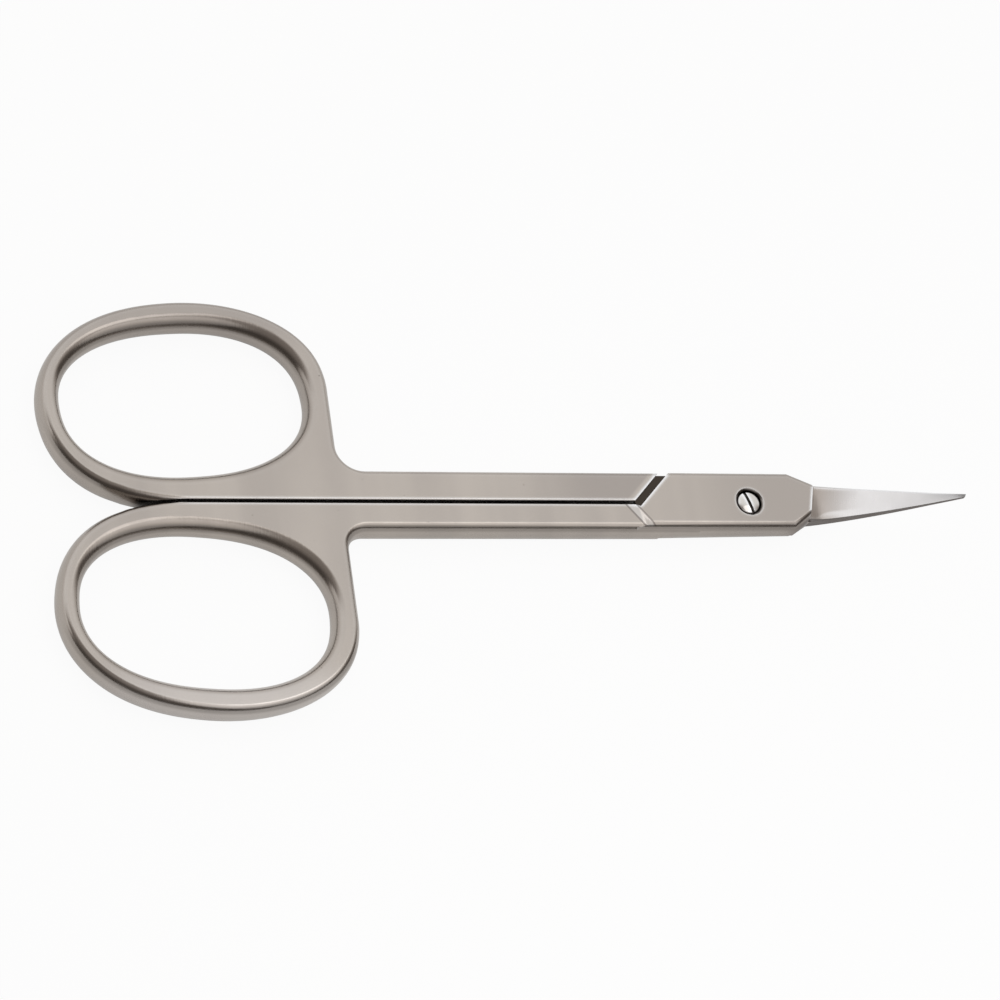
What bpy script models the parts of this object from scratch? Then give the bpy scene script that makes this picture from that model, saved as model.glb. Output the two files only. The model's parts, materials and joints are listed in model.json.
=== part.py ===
"""Curved cuticle scissors: two forged halves crossed at a slotted pivot screw, shown closed.

The origin is on the pivot axis at the underside. +X runs to the tip, +Y to the upper finger ring, and +Z up.
Each half is drawn with its ring on its own side, which is +1 for the back half and -1 for the front half.
"""

import math
from collections import namedtuple

import bmesh
import bpy
from mathutils import Matrix, Vector

# Forged section: a flat top and underside with half-elliptical walls bulging out between them
HANDLE_THICKNESS = 0.0030
WALL_BULGE = 0.0008
WALL_STEPS = 3

# Finger rings, as the outline of their flat face
RING_FROM_PIVOT = 0.05383
RING_HALF_LENGTH = 0.01308
RING_HALF_WIDTH = 0.00922
RING_LIFT = 0.0014
RING_POWER = 2.14
RING_TAPER = -0.086
RING_TURN = math.radians(10.6)
RING_START = math.radians(-7)
RING_STOP = math.radians(230)
RING_POINTS = 52
RING_FOOT_FROM_PIVOT = 0.0502
HEEL_LENGTH = 0.00845
HEEL_LIFT = 0.00048
HEEL_POINTS = 8

# Finger holes, set into the rings by the width of the flat band, with walls that bulge into the hole
HOLE_END_BAND = 0.00052
HOLE_SIDE_BAND = 0.00038
HOLE_END_BULGE = 0.00105
HOLE_SIDE_BULGE = 0.00132
HOLE_BACK_SHIFT = 0.00018
HOLE_IN_SHIFT = 0.00024
HOLE_POWER = 2.3
HOLE_TURN = math.radians(4.8)
HOLE_POINTS = 56

# Shanks
BACK_SHANK_WIDTH = 0.00265
FRONT_SHANK_WIDTH = 0.00208
BACK_NECK_RADIUS = 0.0032
FRONT_NECK_RADIUS = 0.0026
NECK_POINTS = 8
PARTING_GAP = 0.0003

# Lap joint: the front half's plate lies over the back half's plate
LAP_HEIGHT = 0.0016
LAP_GAP = 0.00012
PLATE_RAISE = 0.00025
FRONT_PLATE_STEP = 0.00007
BACK_PLATE_STEP = 0.0001
SHOULDER_FROM_PIVOT = 0.01175
SHOULDER_ANGLE = math.radians(46)
FRONT_NOTCH = 0.00075
BACK_NOTCH = 0.0002
NOTCH_LEAD_SHARE = 3.0
RAMP_FROM_PIVOT = 0.01275
RAMP_ANGLE = math.radians(53)
RAMP_WIDTH = 0.00072
FRONT_SPINE_WIDTH = 0.00262
BACK_SPINE_WIDTH = 0.00206
FRONT_SPINE_TAPER = 0.00004
BACK_SPINE_TAPER = 0.0003
SPINE_CORNER = 0.0044
FRONT_SPINE_ANGLE = math.radians(24)
BACK_SPINE_ANGLE = math.radians(30)
EDGE_CORNER = 0.0043
EDGE_CORNER_ANGLE = math.radians(32)
PLATE_END = 0.0065
PLATE_END_ANGLE = math.radians(14)

# Blades, which curve up from the joint over a surface turned about the pivot
BEND_START = 0.0065
TIP_FROM_PIVOT = 0.0219
TIP_RISE = 0.00337
BEND_POWER = 1.3
ROOT_HALF_WIDTH = 0.00158
TIP_HALF_WIDTH = 0.0001
BLADE_BELLY = 0.0003
ROOT_OFFSET = 0.0003
TIP_OFFSET = -0.00015
ROOT_SPINE = 0.00148
TIP_SPINE = 0.00034
SPINE_BELLY = 0.0004
EDGE_THICKNESS = 0.0001
EDGE_RUN_OUT = 0.0005
EDGE_RUN_LENGTH = 0.0025
SPINE_BEVEL = 0.00022
BLADE_SECTIONS = 18
LAP_COLUMNS = 36
LAP_ROWS = 12

# Pivot screw and its seat
SCREW_RADIUS = 0.0008
SCREW_CLEARANCE = 0.00005
HEAD_RADIUS = 0.00114
HEAD_DOME = 0.0002
HEAD_SINK = 0.0001
SEAT_DEPTH = 0.0010
RECESS_CLEARANCE = 0.00012
RECESS_CHAMFER = 0.00016
SLOT_WIDTH = 0.0003
SLOT_DEPTH = 0.0004
SLOT_ANGLE = math.radians(107)
SCREW_CHAMFER = 0.0001
DOME_POINTS = 6
ROUND_STEPS = 48

# Every cut runs past what it cuts by this length
OVERRUN = 0.001

WELD = 0.000001
SMOOTH_ANGLE = math.radians(30)
SINE_DIGITS = 5
PLATE_TOP = HANDLE_THICKNESS + PLATE_RAISE
SEAT_HEIGHT = PLATE_TOP - SEAT_DEPTH
WIDEST = max(BACK_SHANK_WIDTH, FRONT_SHANK_WIDTH, FRONT_SPINE_WIDTH) + WALL_BULGE + OVERRUN
FAR_LEFT = RING_FROM_PIVOT + RING_HALF_LENGTH + WALL_BULGE + OVERRUN
BACK, FRONT = 1, -1

# What differs between the two halves: widths are from the parting line to the edge of the flat face
HALF_SIZES = "name side shank_width neck_radius plate_step notch spine_width spine_taper spine_angle"
Half = namedtuple("Half", HALF_SIZES)


def clear_scene():
    for obj in list(bpy.data.objects):
        bpy.data.objects.remove(obj, do_unlink=True)


def new_collection(name, hidden):
    collection = bpy.data.collections.new(name)
    collection.hide_render = hidden
    bpy.context.scene.collection.children.link(collection)
    return collection


def steel(name, color, roughness):
    material = bpy.data.materials.new(name)
    material.use_nodes = True
    shader = material.node_tree.nodes["Principled BSDF"]
    shader.inputs["Base Color"].default_value = (*color, 1)
    shader.inputs["Roughness"].default_value = roughness
    shader.inputs["Metallic"].default_value = 1
    return material


def new_object(name, mesh, collection):
    obj = bpy.data.objects.new(name, mesh)
    collection.objects.link(obj)
    if collection.hide_render:
        obj.hide_render = True
        obj.display_type = "WIRE"
    return obj


def shade(obj, material):
    obj.data.materials.clear()
    obj.data.materials.append(material)
    obj.data.shade_smooth()
    obj.data.set_sharp_from_angle(angle=SMOOTH_ANGLE)


def boolean(obj, other, operation):
    modifier = obj.modifiers.new(f"{operation.lower()} {other.name}", "BOOLEAN")
    modifier.operation = operation
    modifier.solver = "EXACT"
    modifier.object = other


def mesh_of_curve(name, curve, collection):
    """The curve as a welded mesh, in a new object."""
    scratch = bpy.data.objects.new(name, curve)
    bpy.context.scene.collection.objects.link(scratch)
    graph = bpy.context.evaluated_depsgraph_get()
    mesh = bpy.data.meshes.new_from_object(scratch.evaluated_get(graph))
    bpy.data.objects.remove(scratch)
    bpy.data.curves.remove(curve)
    work = bmesh.new()
    work.from_mesh(mesh)
    bmesh.ops.remove_doubles(work, verts=work.verts, dist=WELD)
    bmesh.ops.recalc_face_normals(work, faces=work.faces)
    work.to_mesh(mesh)
    work.free()
    return new_object(name, mesh, collection)


def filled_curve(name, outline):
    curve = bpy.data.curves.new(name, "CURVE")
    curve.dimensions = "2D"
    curve.fill_mode = "BOTH"
    spline = curve.splines.new("POLY")
    spline.points.add(len(outline) - 1)
    for point, (x, y) in zip(spline.points, outline):
        point.co = (x, y, 0, 1)
    spline.use_cyclic_u = True
    return curve


def prism(name, outline, low, high, collection):
    """A flat outline between two heights."""
    curve = filled_curve(name, outline)
    curve.extrude = (high - low) / 2
    obj = mesh_of_curve(name, curve, collection)
    obj.data.transform(Matrix.Translation((0, 0, (low + high) / 2)))
    return obj


def forged_plate(name, outline, thickness, collection):
    """Flat faces with the given outline, joined by walls that bulge out between them."""
    curve = filled_curve(name, outline)
    curve.bevel_depth = WALL_BULGE
    curve.bevel_resolution = WALL_STEPS
    obj = mesh_of_curve(name, curve, collection)
    for vertex in obj.data.vertices:
        vertex.co.z = thickness / 2 * (1 + round(vertex.co.z / WALL_BULGE, SINE_DIGITS))
    return obj


def turned(name, profile, collection):
    """A profile of (radius, height) points, from the top down its outer side, turned about the Z axis."""
    mesh = bpy.data.meshes.new(name)
    points = [(radius, 0, height) for radius, height in profile]
    mesh.from_pydata(points, [(i, i + 1) for i in range(len(points) - 1)], [])
    obj = new_object(name, mesh, collection)
    screw = obj.modifiers.new("turn", "SCREW")
    screw.angle = math.tau
    screw.steps = ROUND_STEPS
    screw.render_steps = ROUND_STEPS
    screw.use_merge_vertices = True
    screw.merge_threshold = WELD
    return obj


def signed_power(value, power):
    return math.copysign(abs(value) ** power, value)


def superellipse(centre, half_length, half_width, power, turn, taper, angles):
    points = []
    for angle in angles:
        u = half_length * signed_power(math.cos(angle), 2 / power)
        v = half_width * signed_power(math.sin(angle), 2 / power) * (1 + taper * u / half_length)
        point = Vector((u, v)) @ Matrix.Rotation(-turn, 2)
        points.append((centre[0] + point.x, centre[1] + point.y))
    return points


def steps(start, stop, count):
    return [start + (stop - start) * i / count for i in range(count + 1)]


def bow(start, corner, stop, count):
    """Points on the curve that leaves the start towards the corner and reaches the stop from it."""
    points = []
    for share in steps(0, 1, count):
        near = Vector(start).lerp(corner, share)
        far = Vector(corner).lerp(stop, share)
        points.append(tuple(near.lerp(far, share)))
    return points


def on_side(points, side):
    return [(x, side * y) for x, y in points]


def ring_centre():
    return -RING_FROM_PIVOT, RING_HALF_WIDTH + RING_LIFT


def handle_outline(half):
    """Ring, neck and shank of a half whose ring is at +Y, past the parting line and into the joint."""
    angles = steps(RING_START, RING_STOP, RING_POINTS)
    ring = superellipse(
        ring_centre(), RING_HALF_LENGTH, RING_HALF_WIDTH, RING_POWER, RING_TURN, RING_TAPER, angles
    )
    neck_x = ring[0][0]
    radius = half.neck_radius
    centre = (neck_x + radius, half.shank_width + radius)
    neck = [
        (centre[0] - radius * math.sin(angle), centre[1] - radius * math.cos(angle))
        for angle in steps(0, math.pi / 2, NECK_POINTS)
    ]
    end_x = -SHOULDER_FROM_PIVOT / 2
    foot_x = -RING_FOOT_FROM_PIVOT
    heel = bow(ring[-1], (foot_x - HEEL_LENGTH, HEEL_LIFT), (foot_x, 0), HEEL_POINTS)
    return [(end_x, -OVERRUN), (end_x, half.shank_width), *neck, *ring, *heel[1:], (foot_x, -OVERRUN)]


def hole_outline(bulge_share):
    """The finger hole where its wall has come in by this share of its bulge."""
    x, y = ring_centre()
    return superellipse(
        (x - HOLE_BACK_SHIFT, y - HOLE_IN_SHIFT),
        RING_HALF_LENGTH - HOLE_END_BAND - HOLE_END_BULGE * bulge_share,
        RING_HALF_WIDTH - HOLE_SIDE_BAND - HOLE_SIDE_BULGE * bulge_share,
        HOLE_POWER,
        HOLE_TURN,
        0,
        steps(0, math.tau, HOLE_POINTS)[:-1],
    )


def shoulder_x(y):
    """Where the shoulder line of a half whose ring is at +Y crosses this y."""
    return -SHOULDER_FROM_PIVOT + y / math.tan(SHOULDER_ANGLE)


def plate_outline(half):
    """The joint plate of a half whose ring is at +Y: its blade's spine is on the -Y side."""
    spine_slope = math.tan(half.spine_angle)
    edge_slope = math.tan(EDGE_CORNER_ANGLE)
    end_x = PLATE_END + OVERRUN
    width = half.shank_width - half.plate_step
    clear = WALL_BULGE + OVERRUN
    if half.side == FRONT:
        edge_x = parting_x = -RAMP_FROM_PIVOT - RAMP_WIDTH - clear
    else:
        edge_x = shoulder_x(width) + clear
        parting_x = shoulder_x(0) + clear
    corner_y = half.spine_taper - half.spine_width
    return [
        (-SHOULDER_FROM_PIVOT - OVERRUN, -half.spine_width),
        (SPINE_CORNER, corner_y),
        (end_x, corner_y + (end_x - SPINE_CORNER) * spine_slope),
        (end_x, width - (end_x - EDGE_CORNER) * edge_slope),
        (EDGE_CORNER, width),
        (edge_x, width),
        (parting_x, 0),
        (-SHOULDER_FROM_PIVOT - OVERRUN, 0),
    ]


def other_handle_outline(notch):
    """What a half leaves free for the other half's handle, with the given width of notch at its shoulder."""
    sine = math.sin(SHOULDER_ANGLE)
    cosine = math.cos(SHOULDER_ANGLE)
    edge_y = PARTING_GAP / 2
    corner = Vector((-SHOULDER_FROM_PIVOT + notch * sine, notch * cosine))
    low = corner + Vector((cosine, -sine)) * (corner.y + WIDEST) / sine
    lead = NOTCH_LEAD_SHARE * max(corner.y - edge_y, 0)
    return [
        (-FAR_LEFT, edge_y),
        (corner.x - lead, edge_y),
        (corner.x, max(corner.y, edge_y)),
        (low.x, low.y),
        (-FAR_LEFT, low.y),
    ]


def lap_height(x, y):
    """Height of the surface where the two halves meet: flat at the joint, rising towards the tip."""
    reach = (math.hypot(x, y) - BEND_START) / (TIP_FROM_PIVOT - BEND_START)
    if x < 0 or reach < 0:
        return LAP_HEIGHT
    return LAP_HEIGHT + TIP_RISE * reach**BEND_POWER


def closed_mesh(name, work, collection):
    """What the bmesh holds, with its faces turned outwards, in a new object."""
    bmesh.ops.recalc_face_normals(work, faces=work.faces)
    mesh = bpy.data.meshes.new(name)
    work.to_mesh(mesh)
    work.free()
    return new_object(name, mesh, collection)


def hole_block(name, side, collection):
    """What a finger leaves free: a waisted block, narrowest halfway up the ring."""
    angles = steps(-math.pi / 2, math.pi / 2, 2 * (WALL_STEPS + 1))
    levels = [(HANDLE_THICKNESS / 2 * (1 + math.sin(angle)), math.cos(angle)) for angle in angles]
    levels = [(-OVERRUN, 0), *levels, (HANDLE_THICKNESS + OVERRUN, 0)]
    work = bmesh.new()
    rings = []
    for height, bulge_share in levels:
        outline = on_side(hole_outline(bulge_share), side)
        rings.append([work.verts.new((x, y, height)) for x, y in outline])
    for low, high in zip(rings, rings[1:]):
        for i in range(HOLE_POINTS):
            work.faces.new((low[i - 1], low[i], high[i], high[i - 1]))
    work.faces.new(rings[0])
    work.faces.new(rings[-1])
    return closed_mesh(name, work, collection)


def grid_block(name, lower, upper, collection):
    """A closed block between two grids of points that have the same rows and columns."""
    work = bmesh.new()
    layers = [[[work.verts.new(point) for point in row] for row in grid] for grid in (lower, upper)]
    rows = len(lower)
    columns = len(lower[0])
    for grid in layers:
        for i in range(rows - 1):
            for j in range(columns - 1):
                work.faces.new((grid[i][j], grid[i + 1][j], grid[i + 1][j + 1], grid[i][j + 1]))
    rim = [(i, 0) for i in range(rows)]
    rim += [(rows - 1, j) for j in range(1, columns)]
    rim += [(i, columns - 1) for i in range(rows - 2, -1, -1)]
    rim += [(0, j) for j in range(columns - 2, 0, -1)]
    for (i, j), (k, m) in zip(rim, rim[1:] + rim[:1]):
        work.faces.new((layers[0][i][j], layers[0][k][m], layers[1][k][m], layers[1][i][j]))
    return closed_mesh(name, work, collection)


def lap_block(name, side, collection):
    """What a half leaves free for the other half's plate and blade."""
    far = -OVERRUN if side == FRONT else PLATE_TOP + TIP_RISE + OVERRUN
    meeting, flat = [], []
    for y in steps(-WIDEST, WIDEST, LAP_ROWS):
        start_x = shoulder_x(y) if y > 0 else -SHOULDER_FROM_PIVOT + y
        end_x = TIP_FROM_PIVOT + OVERRUN
        columns = [(x, side * y) for x in steps(start_x, 0, LAP_COLUMNS // 4)]
        columns += [(x, side * y) for x in steps(0, BEND_START, LAP_COLUMNS // 4)[1:]]
        columns += [(x, side * y) for x in steps(BEND_START, end_x, LAP_COLUMNS)[1:]]
        meeting.append([Vector((*point, lap_height(*point) - side * LAP_GAP / 2)) for point in columns])
        flat.append([Vector((*point, far)) for point in columns])
    return grid_block(name, flat, meeting, collection)


def blade_block(name, side, collection):
    """A blade whose spine is on the side away from its ring, past the surface where the halves meet."""
    start_x = SPINE_CORNER / 2
    meeting, outer = [], []
    for x in steps(start_x, TIP_FROM_PIVOT, BLADE_SECTIONS):
        share = max((x - BEND_START) / (TIP_FROM_PIVOT - BEND_START), 0)
        bow_share = share * (1 - share)
        centre = ROOT_OFFSET + (TIP_OFFSET - ROOT_OFFSET) * share
        half = ROOT_HALF_WIDTH + (TIP_HALF_WIDTH - ROOT_HALF_WIDTH) * share + BLADE_BELLY * bow_share
        spine = ROOT_SPINE + (TIP_SPINE - ROOT_SPINE) * share + SPINE_BELLY * bow_share
        run_share = max(1 - (x - BEND_START) / EDGE_RUN_LENGTH, 0)
        edge = EDGE_THICKNESS + EDGE_RUN_OUT * min(run_share, 1) ** 2
        bevel = min(SPINE_BEVEL, half / 2, spine / 2)
        places = [(half, edge), (0, (edge + spine) / 2), (bevel - half, spine), (-half, spine - bevel)]
        inner_row, outer_row = [], []
        for across, height in places:
            y = centre + side * across
            inner_row.append(Vector((x, y, lap_height(x, y) + side * OVERRUN / 2)))
            outer_row.append(Vector((x, y, lap_height(x, y) - side * height)))
        meeting.append(inner_row)
        outer.append(outer_row)
    return grid_block(name, meeting, outer, collection)


def ramp_block(name, collection):
    """What is cut from the raised plate at its left end, down to the shank's top face by a ramp."""
    rise_share = 2
    outline = [
        (-RAMP_WIDTH, -OVERRUN),
        (-RAMP_WIDTH, HANDLE_THICKNESS - PLATE_RAISE),
        (RAMP_WIDTH * rise_share, HANDLE_THICKNESS + PLATE_RAISE * rise_share),
        (-SHOULDER_FROM_PIVOT, HANDLE_THICKNESS + PLATE_RAISE * rise_share),
        (-SHOULDER_FROM_PIVOT, -OVERRUN),
    ]
    obj = prism(name, outline, -SHOULDER_FROM_PIVOT, SHOULDER_FROM_PIVOT, collection)
    upright = Matrix.Rotation(math.pi / 2, 4, "X")
    turn = Matrix.Rotation(math.pi / 2 - RAMP_ANGLE, 4, "Z")
    obj.data.transform(Matrix.Translation((-RAMP_FROM_PIVOT, 0, 0)) @ turn @ upright)
    return obj


def plate_block(half, cutters):
    name = f"{half.name}_plate"
    thickness = PLATE_TOP if half.side == FRONT else HANDLE_THICKNESS
    obj = forged_plate(name, on_side(plate_outline(half), half.side), thickness, cutters)
    lean = math.tan(PLATE_END_ANGLE)
    beyond = PLATE_END + SHOULDER_FROM_PIVOT
    outline = [
        (PLATE_END + lean * WIDEST, -WIDEST),
        (beyond, -WIDEST),
        (beyond, WIDEST),
        (PLATE_END - lean * WIDEST, WIDEST),
    ]
    end = prism(f"{name}_end", on_side(outline, half.side), -OVERRUN, PLATE_TOP + OVERRUN, cutters)
    boolean(obj, end, "DIFFERENCE")
    return obj


def make_half(half, part, cutters):
    name, side = half.name, half.side
    body = forged_plate(name, on_side(handle_outline(half), side), HANDLE_THICKNESS, part)
    boolean(body, hole_block(f"{name}_finger_hole", side, cutters), "DIFFERENCE")
    plate = plate_block(half, cutters)
    if side == FRONT:
        boolean(plate, ramp_block(f"{name}_ramp", cutters), "DIFFERENCE")
    boolean(body, plate, "UNION")
    boolean(body, blade_block(f"{name}_blade", side, cutters), "UNION")
    free = on_side(other_handle_outline(half.notch), side)
    top = PLATE_TOP + OVERRUN
    boolean(body, prism(f"{name}_other_handle", free, -OVERRUN, top, cutters), "DIFFERENCE")
    boolean(body, lap_block(f"{name}_lap", side, cutters), "DIFFERENCE")
    return body


def make_front_half(part, cutters, material):
    sizes = Half(
        name="front_half",
        side=FRONT,
        shank_width=FRONT_SHANK_WIDTH,
        neck_radius=FRONT_NECK_RADIUS,
        plate_step=FRONT_PLATE_STEP,
        notch=FRONT_NOTCH,
        spine_width=FRONT_SPINE_WIDTH,
        spine_taper=FRONT_SPINE_TAPER,
        spine_angle=FRONT_SPINE_ANGLE,
    )
    half = make_half(sizes, part, cutters)
    hole = SCREW_RADIUS + SCREW_CLEARANCE
    recess = HEAD_RADIUS + RECESS_CLEARANCE
    profile = [
        (0, PLATE_TOP + RECESS_CHAMFER),
        (recess + RECESS_CHAMFER * 2, PLATE_TOP + RECESS_CHAMFER),
        (recess, PLATE_TOP - RECESS_CHAMFER),
        (recess, SEAT_HEIGHT),
        (hole, SEAT_HEIGHT),
        (hole, -OVERRUN),
        (0, -OVERRUN),
    ]
    boolean(half, turned("screw_recess", profile, cutters), "DIFFERENCE")
    shade(half, material)
    return half


def make_back_half(part, cutters, material):
    sizes = Half(
        name="back_half",
        side=BACK,
        shank_width=BACK_SHANK_WIDTH,
        neck_radius=BACK_NECK_RADIUS,
        plate_step=BACK_PLATE_STEP,
        notch=BACK_NOTCH,
        spine_width=BACK_SPINE_WIDTH,
        spine_taper=BACK_SPINE_TAPER,
        spine_angle=BACK_SPINE_ANGLE,
    )
    half = make_half(sizes, part, cutters)
    hole = SCREW_RADIUS + SCREW_CLEARANCE
    profile = [(0, PLATE_TOP), (hole, PLATE_TOP), (hole, -OVERRUN), (0, -OVERRUN)]
    boolean(half, turned("screw_hole", profile, cutters), "DIFFERENCE")
    shade(half, material)
    return half


def make_pivot_screw(part, cutters, material):
    top = PLATE_TOP - HEAD_SINK
    under_head = SEAT_HEIGHT + RECESS_CLEARANCE
    dome = [
        (HEAD_RADIUS * math.sin(angle), top - HEAD_DOME * (1 - math.cos(angle)))
        for angle in steps(0, math.pi / 2, DOME_POINTS)
    ]
    profile = [
        *dome,
        (HEAD_RADIUS, under_head),
        (SCREW_RADIUS, under_head),
        (SCREW_RADIUS, SCREW_CHAMFER),
        (SCREW_RADIUS - SCREW_CHAMFER, 0),
        (0, 0),
    ]
    screw = turned("pivot_screw", profile, part)
    half_length = HEAD_RADIUS + OVERRUN
    half_width = SLOT_WIDTH / 2
    outline = [
        (-half_length, -half_width),
        (half_length, -half_width),
        (half_length, half_width),
        (-half_length, half_width),
    ]
    slot = prism("screw_slot", outline, top - SLOT_DEPTH, top + OVERRUN, cutters)
    slot.rotation_euler.z = SLOT_ANGLE
    boolean(screw, slot, "DIFFERENCE")
    shade(screw, material)
    return screw


def main():
    clear_scene()
    part = new_collection("curved_scissors", False)
    cutters = new_collection("cutters", True)
    satin = steel("satin_steel", (0.56, 0.53, 0.5), 0.35)
    polished = steel("polished_steel", (0.68, 0.66, 0.63), 0.18)
    back = make_back_half(part, cutters, satin)
    make_pivot_screw(part, cutters, polished).parent = back
    make_front_half(part, cutters, satin)


main()
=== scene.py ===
import json
import math
from collections import namedtuple

import bmesh
import bpy
from mathutils import Matrix, Vector

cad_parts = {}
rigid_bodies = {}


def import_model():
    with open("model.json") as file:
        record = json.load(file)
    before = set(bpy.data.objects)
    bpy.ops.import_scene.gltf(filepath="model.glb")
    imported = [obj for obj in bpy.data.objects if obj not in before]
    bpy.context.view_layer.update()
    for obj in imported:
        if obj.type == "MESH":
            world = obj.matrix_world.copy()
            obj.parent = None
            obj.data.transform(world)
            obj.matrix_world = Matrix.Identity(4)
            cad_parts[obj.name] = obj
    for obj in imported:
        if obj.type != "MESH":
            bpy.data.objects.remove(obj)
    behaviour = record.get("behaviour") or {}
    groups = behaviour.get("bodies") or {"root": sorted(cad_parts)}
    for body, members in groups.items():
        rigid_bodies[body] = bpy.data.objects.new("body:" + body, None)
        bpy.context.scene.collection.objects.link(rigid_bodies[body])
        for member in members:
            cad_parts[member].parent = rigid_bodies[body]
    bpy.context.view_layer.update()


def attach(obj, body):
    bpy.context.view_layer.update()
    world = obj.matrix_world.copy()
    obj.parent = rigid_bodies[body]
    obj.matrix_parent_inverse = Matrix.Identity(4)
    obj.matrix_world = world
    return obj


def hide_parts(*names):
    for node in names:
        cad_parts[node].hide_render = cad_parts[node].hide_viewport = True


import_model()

# Forged section: a flat top and underside with half-elliptical walls bulging out between them
HANDLE_THICKNESS = 0.0030
WALL_BULGE = 0.0008
WALL_STEPS = 9

# Finger rings, as the outline of their flat face
RING_FROM_PIVOT = 0.05383
RING_HALF_LENGTH = 0.01308
RING_HALF_WIDTH = 0.00922
RING_LIFT = 0.0014
RING_POWER = 2.14
RING_TAPER = -0.086
RING_TURN = math.radians(10.6)
RING_START = math.radians(-7)
RING_STOP = math.radians(230)
RING_POINTS = 150
RING_FOOT_FROM_PIVOT = 0.0502
HEEL_LENGTH = 0.00845
HEEL_LIFT = 0.00048
HEEL_POINTS = 8

# Finger holes, set into the rings by the width of the flat band, with walls that bulge into the hole
HOLE_END_BAND = 0.00052
HOLE_SIDE_BAND = 0.00038
HOLE_END_BULGE = 0.00105
HOLE_SIDE_BULGE = 0.00132
HOLE_BACK_SHIFT = 0.00018
HOLE_IN_SHIFT = 0.00024
HOLE_POWER = 2.3
HOLE_TURN = math.radians(4.8)
HOLE_POINTS = 160

# Shanks
BACK_SHANK_WIDTH = 0.00265
FRONT_SHANK_WIDTH = 0.00208
BACK_NECK_RADIUS = 0.0032
FRONT_NECK_RADIUS = 0.0026
NECK_POINTS = 16
PARTING_GAP = 0.0003
PARTING_ROUNDING = 0.00016
PARTING_STEPS = 5

# Lap joint: the front half's plate lies over the back half's plate
LAP_HEIGHT = 0.0016
LAP_GAP = 0.00004
PLATE_RAISE = 0.00025
FRONT_PLATE_STEP = 0.00007
BACK_PLATE_STEP = 0.0001
SHOULDER_FROM_PIVOT = 0.01175
SHOULDER_ANGLE = math.radians(46)
FRONT_NOTCH = 0.00075
BACK_NOTCH = 0.0002
NOTCH_LEAD_SHARE = 3.0
RAMP_FROM_PIVOT = 0.01275
RAMP_ANGLE = math.radians(53)
RAMP_WIDTH = 0.00072
RAMP_RISE_SHARE = 2
FRONT_SPINE_WIDTH = 0.00262
BACK_SPINE_WIDTH = 0.00206
FRONT_SPINE_TAPER = 0.00004
BACK_SPINE_TAPER = 0.0003
SPINE_CORNER = 0.0044
FRONT_SPINE_ANGLE = math.radians(24)
BACK_SPINE_ANGLE = math.radians(30)
EDGE_CORNER = 0.0043
EDGE_CORNER_ANGLE = math.radians(32)
PLATE_END = 0.0065
PLATE_END_ANGLE = math.radians(14)

# Blades, which curve up from the joint over a surface turned about the pivot
BEND_START = 0.0065
TIP_FROM_PIVOT = 0.0219
TIP_RISE = 0.00337
BEND_POWER = 1.3
ROOT_HALF_WIDTH = 0.00158
TIP_HALF_WIDTH = 0.0001
BLADE_BELLY = 0.0003
ROOT_OFFSET = 0.0003
TIP_OFFSET = -0.00015
ROOT_SPINE = 0.00148
TIP_SPINE = 0.00034
SPINE_BELLY = 0.0004
EDGE_THICKNESS = 0.0001
EDGE_RUN_OUT = 0.0005
EDGE_RUN_LENGTH = 0.0025
SPINE_BEVEL = 0.00022
BLADE_SECTIONS = 44
LAP_COLUMNS = 44
FLAT_LAP_COLUMNS = 11
LAP_ROWS = 12

# Pivot screw and its seat
SCREW_RADIUS = 0.0008
SCREW_CLEARANCE = 0.00005
HEAD_RADIUS = 0.00114
HEAD_DOME = 0.0002
HEAD_SINK = 0.0001
SEAT_DEPTH = 0.0010
RECESS_CLEARANCE = 0.00012
RECESS_CHAMFER = 0.00016
SLOT_WIDTH = 0.0003
SLOT_DEPTH = 0.0004
SLOT_ANGLE = math.radians(107)
SCREW_CHAMFER = 0.0001
DOME_POINTS = 14
ROUND_STEPS = 96

# Edges, smoothing and cuts
EDGE_ROUNDING = 0.00006
ROUNDING_STEPS = 3
SHARP_ANGLE = math.radians(32)
FLAT_ANGLE = math.radians(0.3)
NORMAL_WEIGHT = 80
SINE_DIGITS = 5
OVERRUN = 0.001
WELD = 0.000001
PLATE_TOP = HANDLE_THICKNESS + PLATE_RAISE
SEAT_HEIGHT = PLATE_TOP - SEAT_DEPTH
WIDEST = max(BACK_SHANK_WIDTH, FRONT_SHANK_WIDTH, FRONT_SPINE_WIDTH) + WALL_BULGE + OVERRUN
FAR_LEFT = RING_FROM_PIVOT + RING_HALF_LENGTH + WALL_BULGE + OVERRUN
BACK, FRONT = 1, -1

# Colours of the steel, of the shade and highlights painted on it, and of dirt in its pits
SATIN_DULL = (0.41, 0.372, 0.34)
SATIN_BRIGHT = (0.475, 0.432, 0.39)
POLISHED_DULL = (0.66, 0.64, 0.61)
POLISHED_BRIGHT = (0.78, 0.76, 0.73)
# The blades' own brighter colour, also painted as a highlight on upper edges and the ramp
BLADE_AND_HIGHLIGHT_COLOUR = (0.905, 0.915, 0.935)
# Painted shade: the dark reflection on the blades' flanks, and the shadow lines along the ramp
PAINTED_SHADE_COLOUR = (0.13, 0.11, 0.1)
# A duller tone for the shoulder and plate, also the shade painted on the upper ring; then light painted on
# the lower ring
DARK_TONE_AND_SHADE = (0.365, 0.33, 0.305)
PAINTED_LIGHT_TONE = (0.6, 0.565, 0.54)
# Painted shade in crevices, the notch, round the screw's head and in a band on the walls, and dirt in pits
SHADE_AND_DIRT_COLOUR = (0.055, 0.045, 0.037)

# Roughness and grain of the steel
SATIN_ROUGHNESS = 0.2
POLISHED_ROUGHNESS = 0.12
ROUGHNESS_SPREAD = (0.85, 1.2)
BLADE_ROUGHNESS = 0.1
WALL_ROUGHNESS = 0.05
SATIN_GRAIN_DEPTH = 0.00001
POLISHED_GRAIN_DEPTH = 0.000004
GRAIN_STRENGTH = 0.5

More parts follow.
